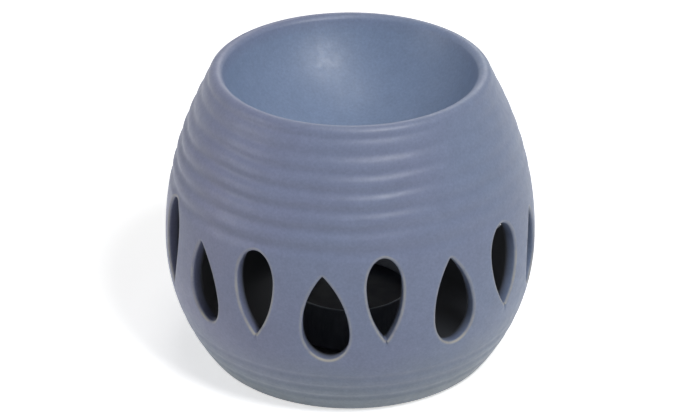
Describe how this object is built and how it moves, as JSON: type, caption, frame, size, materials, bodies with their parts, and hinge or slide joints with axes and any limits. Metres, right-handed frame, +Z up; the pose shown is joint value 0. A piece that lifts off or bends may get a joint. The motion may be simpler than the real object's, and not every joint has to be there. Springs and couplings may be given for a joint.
{
  "type": "essential oil burner",
  "caption": "Round barrel-shaped ceramic oil burner with an oil dish in its mouth, cut teardrop openings round its belly and a tealight inside.",
  "frame": {"origin": "middle of the flat base", "axes": "+Z up through the middle of the mouth, -Y towards the front of the picture, +Y out of the tealight opening at the back"},
  "size_m": [0.1099, 0.1097, 0.09],
  "materials": {
    "glazed_stoneware": "matte",
    "dish_glaze": "matte",
    "cup_aluminium": "satin",
    "wax": "satin",
    "tinplate": "satin",
    "cotton": "matte"
  },
  "bodies": {
    "burner": {"burner_body": "glazed_stoneware", "oil_dish": "dish_glaze"},
    "tealight": {"tealight_cup": "cup_aluminium"},
    "candle": {"tealight_wax": "wax", "wick_holder": "tinplate", "wick": "cotton"}
  },
  "joints": [
    {"name": "tealight_slide", "type": "slide", "parent": "burner", "child": "tealight", "axis": [0, 1, 0], "range_m": [0, 0.085]},
    {"name": "candle_lift", "type": "slide", "parent": "tealight", "child": "candle", "axis": [0, 0, 1], "range_m": [0, 0.0165]}
  ]
}
